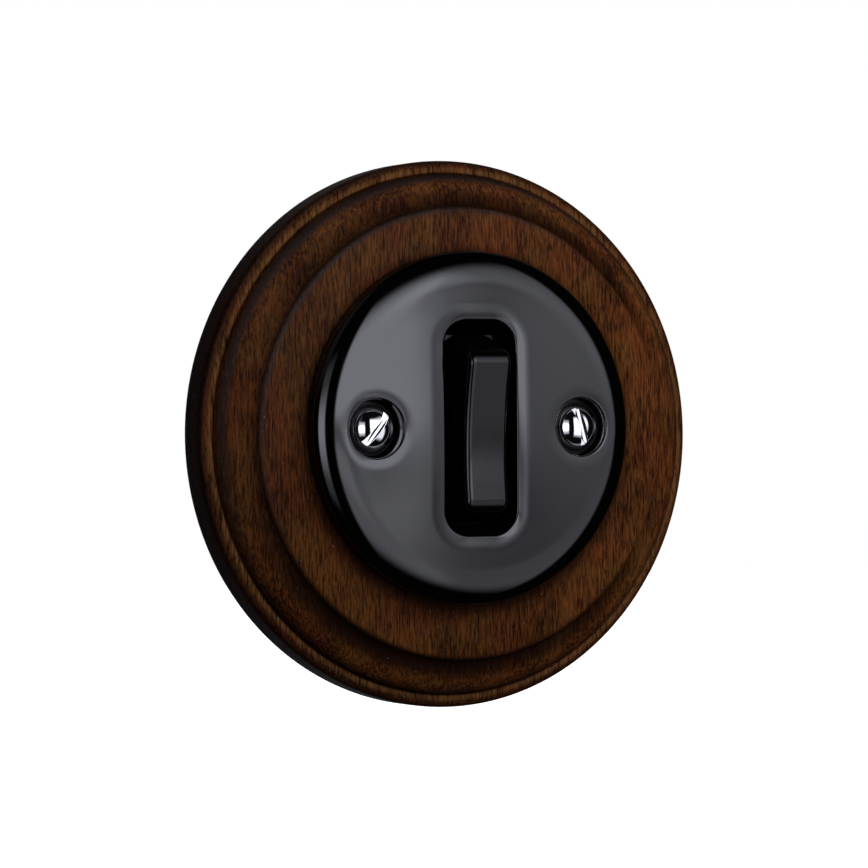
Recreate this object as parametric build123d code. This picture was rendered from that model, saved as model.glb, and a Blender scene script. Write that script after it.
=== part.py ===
from build123d import *
import math
import os

# Flush wall switch: a porcelain cover and a rocker on a turned wooden frame.
# Lengths are in millimetres. Each piece is drawn with X across, Y up and Z out from the wall,
# with the wall's face at Z = 0 and the switch's own axis at X = Y = 0, and is then stood up.

# Cover screws and the posts they turn into
screw_inset = 9.2
screw_shank_radius = 1.75
screw_head_radius = 3.45
screw_rim_height = 1.1
screw_dome_height = 1.5
screw_slot_width = 1.3
screw_slot_depth = 1.8
left_slot_angle = 51.0
right_slot_angle = 105.0
thread_clearance = 0.04
thread_engagement = 5.5
post_wall = 1.2
post_tail_wall = 0.5

# Porcelain cover
cover_edge_width = 8.3
cover_edge_depth = 2.8
cover_edge_foot = 2.7
cover_wall = 3.8
cover_overlap = 5.2
boss_wall = 2.6
boss_length = 6.1
boss_margin = 0.3
boss_hole_clearance = 0.25
clamp_gap = 0.6
spigot_depth = 2.0
spigot_wall = 3.0
well_gap = 0.65
well_straight = 0.1
well_lip_width = 4.5
well_lip_depth = 1.6
slot_height = 35.4
slot_corner_radius = 3.0
slot_lip_width = 5.2
slot_lip_depth = 2.4

# Turned wooden frame
frame_hang = 1.06
spigot_clearance = 0.04
plateau_reveal = 9.2
plateau_round = 0.7
cove_size = 1.5
ovolo_width = 4.9
ovolo_rise = 4.0
quirk_depth = 0.3
bead_width = 2.4
bead_height = 7.6
bead_round = 1.5
back_chamfer = 0.6
rebate_depth = 5.0
rebate_clearance = 1.44

# Steel plate on the wall box
plate_thickness = 1.2
plate_margin = 2.5
box_screw_spacing = 60.0
box_slot_radius = 1.75
box_slot_length = 7.0

# Rocker and its axle
rocker_width = 8.6
rocker_side_gap = 1.3
rocker_rise = 4.2
rocker_face_sag = 1.5
rocker_edge_round = 1.2
rocker_end_round = 2.6
rocker_wall = 1.6
shoulder_drop = 1.8
shoulder_inset = 1.95
slot_end_gap = 0.5
skirt_side_gap = 0.1
skirt_end_gap = 1.0
skirt_ceiling_gap = 0.4
skirt_thickness = 2.0
rest_tilt = 4.0
axle_radius = 1.5
axle_clearance = 0.05
axle_end_inset = 0.3
hub_wall = 2.05

# Sprung plunger in the rocker's barrel
plunger_radius = 1.9
plunger_nose_radius = 1.5
plunger_exposed = 4.0
plunger_guide_length = 4.0
plunger_neck = 0.4
plunger_pip_radius = 0.9
plunger_pip_height = 1.0
slide_clearance = 0.06
barrel_wall = 1.4
barrel_floor = 1.95
spring_length = 6.15
spring_pitch = 1.15
spring_wire_radius = 0.22
spring_slack = 0.35
spring_bore_clearance = 0.15

# See-saw contact on its knife edge
contact_tilt = 8.0
contact_arm = 9.0
contact_width = 5.0
contact_lift = 0.9
contact_end_round = 2.0
notch_depth = 0.6
notch_spare_angle = 7.0
knife_clearance = 0.05
knife_thickness = 1.6
knife_half_angle = 30.0
nose_gap = 0.1
tip_radius = 1.6
tip_height = 0.8
tip_margin = 0.4
tip_shank_radius = 0.9
rivet_clearance = 0.02
closed_gap = 0.08

# Brass terminals and their clamps
strip_thickness = 0.8
strip_width = 5.0
strip_margin = 0.6
common_strip_width = 4.0
common_leg_gap = 1.9
leg_clearance = 1.2
slit_clearance = 0.1
terminal_screw_radius = 1.5
terminal_head_lip = 1.4
terminal_head_height = 2.0
terminal_slot_width = 0.8
terminal_slot_depth = 1.0
terminal_screw_reach = 2.5
clamp_side = 0.45
clamp_thickness = 1.0
clamp_lip = 0.5
clamp_clearance = 0.05
clamp_leg_gap = 0.8

# Ceramic base, insulating sheet and rivets
sheet_thickness = 0.8
sheet_margin = 1.2
cheek_side_gap = 0.3
cheek_thickness = 3.5
cheek_wall = 2.1
cheek_flare = 1.9
cheek_ceiling_gap = 0.6
tower_clearance = 0.4
chamber_side_gap = 1.4
chamber_end_gap = 0.4
floor_web = 2.4
well_spare_depth = 0.7
terminal_well_gap = 0.6
terminal_wall = 4.0
common_screw_wall = 2.6
base_corner_radius = 4.0
lug_thickness = 5.0
lug_margin = 1.4
rivet_radius = 1.5
rivet_lip = 1.1
rivet_head_height = 1.1
rivet_gap = 0.8

# Shares of the run and of the drop at which the inner handles of a glazed roll-over lie
roll_over_handles = ((0.44, 0.0), (0.46, 0.0), (0.84, 0.17), (1.0, 0.87))

# Heights out from the wall
cover_height = cover_edge_depth + cover_edge_foot
quirk_height = bead_height - quirk_depth
ovolo_height = quirk_height + ovolo_rise
plateau_height = ovolo_height + cove_size + plateau_round
cover_face = plateau_height + cover_height
cover_ceiling = cover_face - cover_wall
screw_seat = cover_face - well_lip_depth - well_straight
boss_bottom = screw_seat - boss_length
post_top = boss_bottom - clamp_gap
cheek_radius = axle_radius + cheek_wall
pivot_height = cover_ceiling - cheek_ceiling_gap - cheek_radius
base_front = -sheet_thickness

# Rocker in the slot
rocker_half = rocker_width / 2
slot_width = rocker_width + 2 * rocker_side_gap
rocker_end_radius = slot_height / 2 - slot_end_gap
hub_radius = axle_radius + axle_clearance + hub_wall
skirt_half = slot_width / 2 - skirt_side_gap
skirt_top = cover_ceiling - skirt_ceiling_gap - rocker_end_radius * math.sin(math.radians(rest_tilt))
skirt_bottom = skirt_top - skirt_thickness
barrel_bore = plunger_radius + slide_clearance
barrel_radius = barrel_bore + barrel_wall
barrel_end = pivot_height - axle_radius - axle_clearance - barrel_floor
plunger_top = barrel_end - spring_slack - spring_length
barrel_mouth = plunger_top - plunger_guide_length
plunger_tip = barrel_mouth - plunger_exposed
barrel_sway = (pivot_height - barrel_mouth) * math.sin(math.radians(rest_tilt))

# Radii from the switch's axis, worked outwards from the cover screws and the rocker
cover_screw_offset = box_screw_spacing / 2 - screw_inset
shank_hole_radius = screw_shank_radius + boss_hole_clearance
boss_radius = shank_hole_radius + boss_wall
well_radius = screw_head_radius + well_gap
post_bore_radius = screw_shank_radius + thread_clearance
post_tail_radius = post_bore_radius + post_tail_wall
skirt_reach = math.hypot(skirt_half, rocker_end_radius) + skirt_end_gap
boss_reach = cover_screw_offset + boss_radius + boss_margin
spigot_radius = max(boss_reach, skirt_reach + spigot_wall)
bore_radius = spigot_radius + frame_hang + spigot_clearance
cover_radius = bore_radius + cover_overlap
plateau_radius = cover_radius + plateau_reveal
ovolo_radius = plateau_radius + cove_size
quirk_radius = ovolo_radius + ovolo_width
frame_radius = quirk_radius + bead_width
plate_radius = box_screw_spacing / 2 + box_slot_length / 2 + plate_margin
rebate_radius = plate_radius + frame_hang + rebate_clearance

# Contact levels behind the plunger
contact_thickness = contact_lift + notch_depth
notch_half_angle = knife_half_angle + contact_tilt + notch_spare_angle
knife_edge = plunger_tip - nose_gap - contact_lift
tip_curve = (tip_radius**2 + tip_height**2) / (2 * tip_height)
tip_dip = (
    contact_arm * math.sin(math.radians(contact_tilt))
    + (notch_depth + tip_height - tip_curve) * math.cos(math.radians(contact_tilt))
    + tip_curve
)
fixed_tip_top = knife_edge - tip_dip - closed_gap
foot_front = fixed_tip_top - tip_height
chamber_floor = foot_front - strip_thickness
well_floor = chamber_floor - floor_web
pad_rear = well_floor - strip_thickness
clamp_rear = pad_rear - clamp_thickness
base_rear = clamp_rear - terminal_head_height - well_spare_depth

# Plan of the base
common_leg_offset = contact_width / 2 + common_leg_gap
chamber_half = max(skirt_half + cheek_side_gap, common_leg_offset + chamber_side_gap, barrel_radius)
tower_half = chamber_half + cheek_thickness
cheek_half_width = cheek_radius + cheek_flare
window_half_width = tower_half + tower_clearance
window_half_height = max(cheek_half_width, barrel_radius + barrel_sway) + tower_clearance
contact_half = contact_arm + tip_radius + tip_margin
leg_offset = contact_half + leg_clearance
chamber_length = leg_offset + chamber_end_gap
pad_width = max(strip_width, common_strip_width)
clamp_size = pad_width + 2 * (clamp_clearance + clamp_side)
clamp_reach = clamp_leg_gap + clamp_size / 2
terminal_head_radius = terminal_screw_radius + terminal_head_lip
terminal_well_half = max(clamp_size / 2, terminal_head_radius) + terminal_well_gap
terminal_offset = leg_offset + clamp_reach
common_offset = max(
    chamber_half + common_screw_wall + terminal_screw_radius, common_leg_offset + clamp_reach
)
base_half_height = terminal_offset + terminal_wall
base_half_width = common_offset + terminal_wall
rivet_head_radius = rivet_radius + rivet_lip
lug_half_width = rivet_head_radius + lug_margin
rivet_offset = base_half_height + rivet_gap + rivet_head_radius
lug_end = rivet_offset + lug_half_width


def span(low, high):
    """Box between two opposite corners."""
    size = [b - a for a, b in zip(low, high)]
    middle = [(a + b) / 2 for a, b in zip(low, high)]
    return Pos(*middle) * Box(*size)


def peg(radius, low, high, across=0.0, up=0.0):
    """Round peg that points out from the wall."""
    return Pos(across, up, (low + high) / 2) * Cylinder(radius, high - low)


def level_peg(radius, half_length, height):
    """Round peg that lies level across the switch."""
    return Pos(0, 0, height) * Rot(0, 90, 0) * Cylinder(radius, 2 * half_length)


def spun(edges):
    """Solid turned from a closed outline of (radius, height) edges."""
    return revolve(make_face(Plane.XZ * (Curve() + edges)), Axis.Z)


def side_cut(edges, half_width):
    """Prism whose closed outline is drawn in (up, out) and which lies across the switch."""
    return extrude(make_face(Plane.YZ * (Curve() + edges)), half_width, both=True)


def tilted(shape, height, angle):
    """Shape turned about a level axis, top end outwards for a positive angle."""
    return Pos(0, 0, height) * Rot(angle, 0, 0) * Pos(0, 0, -height) * shape


def on_circle(radius, height, centre_height):
    """How far from the axis a circle about a level axis is, at a given height."""
    return math.sqrt(radius**2 - (height - centre_height) ** 2)


def roll_over(face_end, wall_end):
    """Curve that leaves a level face gently and ends upright on a wall, as glaze flows over an edge."""
    run = wall_end[0] - face_end[0]
    drop = wall_end[1] - face_end[1]
    handles = [(face_end[0] + a * run, face_end[1] + b * drop) for a, b in roll_over_handles]
    return Bezier(face_end, *handles, wall_end)


def domed_rivet(base, direction):
    """Contact rivet's dome, standing on a level and facing out (1) or in (-1)."""
    top = base + direction * tip_height
    centre = top - direction * tip_curve
    slant = tip_radius / 2
    dome_edge = ThreePointArc(
        (tip_radius, base),
        (slant, centre + direction * math.sqrt(tip_curve**2 - slant**2)),
        (0, top),
    )
    return spun([Polyline((0, top), (0, base), (tip_radius, base)), dome_edge])


def make_wood_frame():
    """Rosette turned from one disc: bead, quirk, ovolo, cove and plateau, rebated at the back."""
    outline = [
        Polyline(
            (rebate_radius, 0),
            (frame_radius - back_chamfer, 0),
            (frame_radius, back_chamfer),
            (frame_radius, bead_height - bead_round),
        ),
        CenterArc((frame_radius - bead_round, bead_height - bead_round), bead_round, 0, 90),
        Polyline(
            (frame_radius - bead_round, bead_height),
            (quirk_radius, bead_height),
            (quirk_radius, quirk_height),
        ),
        EllipticalCenterArc((ovolo_radius, quirk_height), ovolo_width, ovolo_rise, 0, arc_size=90),
        CenterArc((ovolo_radius, ovolo_height + cove_size), cove_size, 180, 90),
        CenterArc(
            (plateau_radius - plateau_round, plateau_height - plateau_round), plateau_round, 0, 90
        ),
        Polyline(
            (plateau_radius - plateau_round, plateau_height),
            (bore_radius, plateau_height),
            (bore_radius, rebate_depth),
            (rebate_radius, rebate_depth),
            (rebate_radius, 0),
        ),
    ]
    return Pos(0, -frame_hang, 0) * spun(outline)


def slot_opening():
    """Tall rounded opening with a soft roll-over lip carried round its mouth."""
    plan = RectangleRounded(slot_width, slot_height, slot_corner_radius)
    path = (Pos(0, 0, cover_face) * plan).wire()
    start = path @ 0
    along = path % 0
    outwards = along.cross(Vector(0, 0, 1))
    section = [
        roll_over((slot_lip_width, 0), (0, -slot_lip_depth)),
        Polyline(
            (0, -slot_lip_depth),
            (0, cover_edge_depth),
            (slot_lip_width, cover_edge_depth),
            (slot_lip_width, 0),
        ),
    ]
    section_plane = Plane(origin=start, x_dir=outwards, z_dir=-along)
    lip = sweep(section_plane * make_face(Curve() + section), path=path)
    through = extrude(Pos(0, 0, boss_bottom) * plan, cover_face + cover_edge_depth - boss_bottom)
    return through + lip


def screw_well():
    """Round well for a screw head, with a soft lip and a clearance hole through its floor."""
    lip_floor = cover_face - well_lip_depth
    mouth = well_radius + well_lip_width
    outline = [
        Polyline((0, screw_seat), (well_radius, screw_seat), (well_radius, lip_floor)),
        roll_over((mouth, cover_face), (well_radius, lip_floor)),
        Polyline(
            (mouth, cover_face),
            (mouth, cover_face + cover_edge_depth),
            (0, cover_face + cover_edge_depth),
            (0, screw_seat),
        ),
    ]
    hole = peg(shank_hole_radius, boss_bottom, cover_face)
    return spun(outline) + hole


def make_porcelain_cover():
    """Glazed cover: rounded edge, locating spigot, hollow back and two screw bosses."""
    edge_start = cover_radius - cover_edge_width
    edge_floor = cover_face - cover_edge_depth
    spigot_bottom = plateau_height - spigot_depth
    hollow_radius = spigot_radius - spigot_wall
    outline = [
        Polyline((0, cover_ceiling), (0, cover_face), (edge_start, cover_face)),
        roll_over((edge_start, cover_face), (cover_radius, edge_floor)),
        Polyline(
            (cover_radius, edge_floor),
            (cover_radius, plateau_height),
            (spigot_radius, plateau_height),
            (spigot_radius, spigot_bottom),
            (hollow_radius, spigot_bottom),
            (hollow_radius, cover_ceiling),
            (0, cover_ceiling),
        ),
    ]
    cover = spun(outline)
    for side in (-1, 1):
        cover += peg(boss_radius, boss_bottom, cover_ceiling, side * cover_screw_offset)
    for side in (-1, 1):
        cover -= Pos(side * cover_screw_offset, 0, 0) * screw_well()
    return cover - slot_opening()


def make_cover_screw(side, slot_angle):
    """Round-head slotted screw, seated in its well and turned to the angle it was left at."""
    rim = screw_seat + screw_rim_height
    top = rim + screw_dome_height
    dome_radius = (screw_head_radius**2 + screw_dome_height**2) / (2 * screw_dome_height)
    half_chord = screw_head_radius / 2
    dome_middle = top - dome_radius + math.sqrt(dome_radius**2 - half_chord**2)
    tip = post_top - thread_engagement
    outline = [
        Polyline((0, tip), (screw_shank_radius, tip), (screw_shank_radius, screw_seat)),
        Polyline(
            (screw_shank_radius, screw_seat),
            (screw_head_radius, screw_seat),
            (screw_head_radius, rim),
        ),
        ThreePointArc((screw_head_radius, rim), (half_chord, dome_middle), (0, top)),
        Line((0, top), (0, tip)),
    ]
    slot = span(
        (-2 * screw_head_radius, -screw_slot_width / 2, top - screw_slot_depth),
        (2 * screw_head_radius, screw_slot_width / 2, top + screw_slot_depth),
    )
    screw = spun(outline) - Rot(0, 0, slot_angle) * slot
    return Pos(side * cover_screw_offset, 0, 0) * screw


def make_cover_post(side):
    """Hexagonal threaded post with a tail swaged into the plate."""
    plan = RegularPolygon(post_bore_radius + post_wall, 6, major_radius=False)
    post = extrude(Pos(0, 0, plate_thickness) * plan, post_top - plate_thickness)
    post += peg(post_tail_radius, 0, plate_thickness)
    post -= peg(post_bore_radius, 0, post_top)
    return Pos(side * cover_screw_offset, 0, 0) * post


def tower_window(low, high):
    """Window that the axle cheeks and the barrel pass through."""
    return span(
        (-window_half_width, -window_half_height, low), (window_half_width, window_half_height, high)
    )


def make_support_plate():
    """Round steel plate with the tower's window and slots for the wall box's screws."""
    plate = peg(plate_radius, 0, plate_thickness) - tower_window(0, plate_thickness)
    slot_plan = SlotOverall(box_slot_length, 2 * box_slot_radius)
    for side in (-1, 1):
        plate -= extrude(Pos(side * box_screw_spacing / 2, 0, 0) * slot_plan, plate_thickness)
        plate -= peg(
            post_tail_radius + rivet_clearance, 0, plate_thickness, side * cover_screw_offset
        )
        plate -= peg(rivet_radius + rivet_clearance, 0, plate_thickness, 0, side * rivet_offset)
    return plate


def make_insulating_sheet():
    """Fibre sheet between the base and the plate."""
    plan = RectangleRounded(
        2 * (base_half_width + sheet_margin), 2 * (lug_end + sheet_margin), base_corner_radius
    )
    sheet = extrude(Pos(0, 0, base_front) * plan, sheet_thickness) - tower_window(base_front, 0)
    for side in (-1, 1):
        sheet -= peg(rivet_radius + rivet_clearance, base_front, 0, 0, side * rivet_offset)
    return sheet


def make_base_rivet(side):
    """Rivet through plate, sheet and lug, closed over behind the lug."""
    lug_back = base_front - lug_thickness
    rivet = peg(rivet_radius, lug_back, plate_thickness)
    rivet += peg(rivet_head_radius, plate_thickness, plate_thickness + rivet_head_height)
    rivet += peg(rivet_head_radius, lug_back - rivet_head_height, lug_back)
    return Pos(0, side * rivet_offset, 0) * rivet


def axle_cheek(side):
    """Cheek that carries one end of the axle, round at its top."""
    plan = [
        Polyline(
            (-cheek_radius, pivot_height),
            (-cheek_half_width, base_front),
            (cheek_half_width, base_front),
            (cheek_radius, pivot_height),
        ),
        CenterArc((0, pivot_height), cheek_radius, 0, 180),
    ]
    middle = chamber_half + cheek_thickness / 2
    return Pos(side * middle, 0, 0) * side_cut(plan, cheek_thickness / 2)


def terminal_well(leg_outside, offset, width):
    """Well in the base's back for one terminal: open to the side, a slit and a screw hole."""
    start = leg_outside - strip_thickness - slit_clearance
    well = span((start, -terminal_well_half, base_rear), (lug_end, terminal_well_half, well_floor))
    slit_half = width / 2 + slit_clearance
    slit = span(
        (start, -slit_half, well_floor), (leg_outside + slit_clearance, slit_half, chamber_floor)
    )
    hole_end = well_floor + terminal_screw_reach + slit_clearance
    return well + slit + peg(terminal_screw_radius + slit_clearance, well_floor, hole_end, offset)


def make_switch_base():
    """Ceramic base: contact chamber in front, axle cheeks, rivet lugs and three terminal wells."""
    plan = RectangleRounded(2 * base_half_width, 2 * base_half_height, base_corner_radius)
    base = extrude(Pos(0, 0, base_rear) * plan, base_front - base_rear)
    lug_plan = SlotOverall(2 * lug_end, 2 * lug_half_width, rotation=90)
    base += extrude(Pos(0, 0, base_front - lug_thickness) * lug_plan, lug_thickness)
    base -= span(
        (-chamber_half, -chamber_length, chamber_floor), (chamber_half, chamber_length, base_front)
    )
    for side in (-1, 1):
        base += axle_cheek(side)
    base -= level_peg(axle_radius + rivet_clearance, 2 * tower_half, pivot_height)

    switched_well = terminal_well(leg_offset, terminal_offset, strip_width)
    for turn in (90, -90):
        base -= Rot(0, 0, turn) * switched_well
    base -= terminal_well(common_leg_offset, common_offset, common_strip_width)
    for side in (-1, 1):
        base -= peg(
            rivet_radius + rivet_clearance,
            base_front - lug_thickness,
            base_front,
            0,
            side * rivet_offset,
        )
    return base


def bent_strip(foot_start, leg_outside, pad_end, width):
    """Strip with a foot on the chamber's floor, a leg through it and a pad in the terminal well."""
    half = width / 2
    leg_inside = leg_outside - strip_thickness
    foot = span((foot_start, -half, chamber_floor), (leg_outside, half, foot_front))
    leg = span((leg_inside, -half, pad_rear), (leg_outside, half, foot_front))
    pad = span((leg_inside, -half, pad_rear), (pad_end, half, well_floor))
    return foot + leg + pad


def make_switched_terminal(turn):
    """Terminal under one end of the see-saw bar, with holes for its contact rivet and its screw."""
    strip = bent_strip(
        contact_arm - tip_radius - strip_margin,
        leg_offset,
        terminal_offset + clamp_size / 2,
        strip_width,
    )
    strip -= peg(tip_shank_radius + rivet_clearance, chamber_floor, foot_front, contact_arm)
    strip -= peg(terminal_screw_radius + thread_clearance, pad_rear, well_floor, terminal_offset)
    return Rot(0, 0, turn) * strip


def make_common_terminal():
    """Knife-edge bracket that carries the see-saw bar, with its leg and terminal pad."""
    strip = bent_strip(
        -contact_width / 2, common_leg_offset, common_offset + clamp_size / 2, common_strip_width
    )
    strip -= peg(terminal_screw_radius + thread_clearance, pad_rear, well_floor, common_offset)
    edge = knife_edge - knife_clearance
    half = knife_thickness / 2
    bevel = edge - half / math.tan(math.radians(knife_half_angle))
    blade = Polyline(
        (-half, chamber_floor),
        (half, chamber_floor),
        (half, bevel),
        (0, edge),
        (-half, bevel),
        close=True,
    )
    return strip + side_cut([blade], contact_width / 2)


def make_fixed_tip(turn):
    """Fixed contact rivet in its terminal's foot."""
    tip = domed_rivet(foot_front, 1) + peg(tip_shank_radius, chamber_floor, foot_front)
    return Rot(0, 0, turn) * Pos(contact_arm, 0, 0) * tip


def make_moving_contact():
    """See-saw bar with a notch for the knife edge and a hole at each end for its rivet."""
    back = knife_edge - notch_depth
    front = knife_edge + contact_lift
    plan = RectangleRounded(contact_width, 2 * contact_half, contact_end_round)
    bar = extrude(Pos(0, 0, back) * plan, contact_thickness)
    flare = 2 * notch_depth
    mouth = flare * math.tan(math.radians(notch_half_angle))
    notch = Polyline(
        (0, knife_edge), (mouth, knife_edge - flare), (-mouth, knife_edge - flare), close=True
    )
    bar -= side_cut([notch], contact_width)
    for side in (-1, 1):
        bar -= peg(tip_shank_radius + rivet_clearance, back, front, 0, side * contact_arm)
    return tilted(bar, knife_edge, -contact_tilt)


def make_moving_tip(side):
    """Contact rivet at one end of the see-saw bar."""
    back = knife_edge - notch_depth
    front = knife_edge + contact_lift
    tip = domed_rivet(back, -1) + peg(tip_shank_radius, back, front)
    return tilted(Pos(0, side * contact_arm, 0) * tip, knife_edge, -contact_tilt)


def terminal_places():
    """Turn about the axis and distance from it, for the upper, lower and common terminals."""
    return [(90, terminal_offset), (-90, terminal_offset), (0, common_offset)]


def make_terminal_clamp(turn, offset):
    """Saddle plate whose two lips sit beside the terminal's pad."""
    half = clamp_size / 2
    channel = pad_width / 2 + clamp_clearance
    clamp = span((-half, -half, clamp_rear), (half, half, pad_rear + clamp_lip))
    clamp -= span((-half, -channel, pad_rear), (half, channel, pad_rear + clamp_lip))
    clamp -= peg(terminal_screw_radius + clamp_clearance, clamp_rear, pad_rear)
    return Rot(0, 0, turn) * Pos(offset, 0, 0) * clamp


def make_terminal_screw(turn, offset):
    """Slotted cheese-head screw through a clamp and into its terminal."""
    head_rear = clamp_rear - terminal_head_height
    screw = peg(terminal_head_radius, head_rear, clamp_rear)
    screw += peg(terminal_screw_radius, clamp_rear, well_floor + terminal_screw_reach)
    screw -= span(
        (-terminal_head_radius, -terminal_slot_width / 2, head_rear),
        (terminal_head_radius, terminal_slot_width / 2, head_rear + terminal_slot_depth),
    )
    return Rot(0, 0, turn) * Pos(offset, 0, 0) * screw


def make_rocker_axle():
    """Steel pin across both cheeks."""
    return level_peg(axle_radius, tower_half - axle_end_inset, pivot_height)


def rocker_body():
    """Rocker's upper body: hollow face, sloped shoulders and ends that follow the slot."""
    face_end = cover_face + rocker_rise
    shoulder = cover_face - shoulder_drop
    shoulder_up = on_circle(rocker_end_radius, shoulder, pivot_height)
    half = shoulder_up - shoulder_inset
    low_up = on_circle(rocker_end_radius, skirt_bottom, pivot_height)
    middle = (shoulder + skirt_bottom) / 2
    middle_up = on_circle(rocker_end_radius, middle, pivot_height)
    outline = [
        ThreePointArc((-half, face_end), (0, face_end - rocker_face_sag), (half, face_end)),
        Line((half, face_end), (shoulder_up, shoulder)),
        ThreePointArc((shoulder_up, shoulder), (middle_up, middle), (low_up, skirt_bottom)),
        Line((low_up, skirt_bottom), (-low_up, skirt_bottom)),
        ThreePointArc((-low_up, skirt_bottom), (-middle_up, middle), (-shoulder_up, shoulder)),
        Line((-shoulder_up, shoulder), (-half, face_end)),
    ]
    body = side_cut(outline, rocker_half)
    ends = body.edges().filter_by(Axis.X).filter_by(lambda edge: edge.center().Z > cover_face)
    body = fillet(ends, rocker_end_round)
    rim = [edge for edge in body.edges() if edge.center().Z > shoulder + rocker_edge_round]
    sides = [edge for edge in rim if abs(edge.center().X) > rocker_half / 2]
    return fillet(sides, rocker_edge_round)


def make_rocker():
    """One moulding: body, skirt under the cover, hub on the axle and the plunger's barrel."""
    rocker = rocker_body()
    skirt_up = on_circle(rocker_end_radius, skirt_top, pivot_height)
    rocker += span((-skirt_half, -skirt_up, skirt_bottom), (skirt_half, skirt_up, skirt_top))
    rocker += level_peg(hub_radius, skirt_half, pivot_height)
    rocker += peg(barrel_radius, barrel_mouth, pivot_height)
    pocket_top = cover_face + rocker_rise - rocker_face_sag - 2 * rocker_wall
    pocket_half = rocker_half - rocker_wall
    shoulder_up = on_circle(rocker_end_radius, cover_face, pivot_height)
    for side in (-1, 1):
        ends = sorted([side * (hub_radius + rocker_wall), side * (shoulder_up - 2 * rocker_wall)])
        rocker -= span((-pocket_half, ends[0], skirt_bottom), (pocket_half, ends[1], pocket_top))
    rocker -= level_peg(axle_radius + axle_clearance, skirt_half, pivot_height)
    rocker -= peg(barrel_bore, barrel_mouth, barrel_end)
    return tilted(rocker, pivot_height, rest_tilt)


def make_plunger():
    """Round-nosed brass pin that slides in the barrel, with a pip that centres the spring."""
    nose = plunger_tip + plunger_nose_radius
    slant = plunger_nose_radius * math.sqrt(0.5)
    outline = [
        ThreePointArc((0, plunger_tip), (slant, nose - slant), (plunger_nose_radius, nose)),
        Polyline(
            (plunger_nose_radius, nose),
            (plunger_nose_radius, barrel_mouth),
            (plunger_radius, barrel_mouth + plunger_neck),
            (plunger_radius, plunger_top),
            (plunger_pip_radius, plunger_top),
            (plunger_pip_radius, plunger_top + plunger_pip_height),
            (0, plunger_top + plunger_pip_height),
            (0, plunger_tip),
        ),
    ]
    return tilted(spun(outline), pivot_height, rest_tilt)


def make_plunger_spring():
    """Coil spring between the plunger and the closed end of the barrel."""
    coil_radius = barrel_bore - spring_bore_clearance - spring_wire_radius
    low = plunger_top + spring_wire_radius
    path = Pos(0, 0, low) * Helix(spring_pitch, spring_length - 2 * spring_wire_radius, coil_radius)
    wire = Plane(origin=path @ 0, z_dir=path % 0) * Circle(spring_wire_radius)
    return tilted(sweep(wire, path=path, is_frenet=True), pivot_height, rest_tilt)


def make_nodes():
    """Every piece by name; like fasteners share one name."""
    places = terminal_places()
    return {
        "wood_frame": [make_wood_frame()],
        "porcelain_cover": [make_porcelain_cover()],
        "cover_screws": [
            make_cover_screw(-1, left_slot_angle),
            make_cover_screw(1, right_slot_angle),
        ],
        "cover_posts": [make_cover_post(side) for side in (-1, 1)],
        "support_plate": [make_support_plate()],
        "insulating_sheet": [make_insulating_sheet()],
        "base_rivets": [make_base_rivet(side) for side in (-1, 1)],
        "switch_base": [make_switch_base()],
        "common_terminal": [make_common_terminal()],
        "upper_terminal": [make_switched_terminal(90)],
        "lower_terminal": [make_switched_terminal(-90)],
        "fixed_contact_tips": [make_fixed_tip(turn) for turn in (90, -90)],
        "terminal_clamps": [make_terminal_clamp(*place) for place in places],
        "terminal_screws": [make_terminal_screw(*place) for place in places],
        "rocker_axle": [make_rocker_axle()],
        "rocker": [make_rocker()],
        "plunger": [make_plunger()],
        "plunger_spring": [make_plunger_spring()],
        "moving_contact": [make_moving_contact()],
        "moving_contact_tips": [make_moving_tip(side) for side in (-1, 1)],
    }


os.makedirs("parts", exist_ok=True)
for name, pieces in make_nodes().items():
    solids = [solid for piece in pieces for solid in (Rot(90, 0, 0) * piece).solids()]
    export_step(Compound(children=solids), f"parts/{name}.step")
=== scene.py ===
"""Studio scene of a round wall switch: turned wooden frame, black porcelain cover and a slim rocker."""

import logging
import math
from abc import ABC, abstractmethod
from dataclasses import dataclass
from enum import Enum
from typing import Any

import bmesh
import bpy
import numpy as np
from mathutils import Matrix, Vector
from mathutils.geometry import delaunay_2d_cdt

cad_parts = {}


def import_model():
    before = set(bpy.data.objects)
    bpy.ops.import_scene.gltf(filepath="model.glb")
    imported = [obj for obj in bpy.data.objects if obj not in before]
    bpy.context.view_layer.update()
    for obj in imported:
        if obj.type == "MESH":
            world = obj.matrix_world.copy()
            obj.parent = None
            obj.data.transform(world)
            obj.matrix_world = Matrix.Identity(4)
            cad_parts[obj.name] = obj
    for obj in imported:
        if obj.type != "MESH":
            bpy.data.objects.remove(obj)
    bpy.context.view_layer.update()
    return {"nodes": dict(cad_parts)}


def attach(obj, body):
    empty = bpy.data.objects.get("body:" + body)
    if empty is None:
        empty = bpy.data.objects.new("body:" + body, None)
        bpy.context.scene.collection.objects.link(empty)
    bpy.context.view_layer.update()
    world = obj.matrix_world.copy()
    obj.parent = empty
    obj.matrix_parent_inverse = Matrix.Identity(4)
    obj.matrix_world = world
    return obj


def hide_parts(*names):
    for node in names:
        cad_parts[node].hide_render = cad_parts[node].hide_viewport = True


Colour = tuple[float, float, float, float]
Span = tuple[float, float]
Socket = bpy.types.NodeSocket

MM = 0.001
FULL_TURN = 2 * math.pi
WHITE = (1.0, 1.0, 1.0, 1.0)
LOG = logging.getLogger("wall_switch")


class Slot(Enum):
    """Material slots of the record that pieces take their finish from."""

    WOOD = "stained_wood"
    GLAZE = "black_glaze"
    PLASTIC = "black_plastic"
    CHROME = "chrome"
    STEEL = "zinced_steel"
    SPRING = "spring_steel"
    BRASS = "brass"
    SILVER = "silver"
    STEATITE = "steatite"
    FIBRE = "fibre"


class Body(Enum):
    """Bodies of the frame that pieces ride on."""

    BASE = "base"


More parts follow.
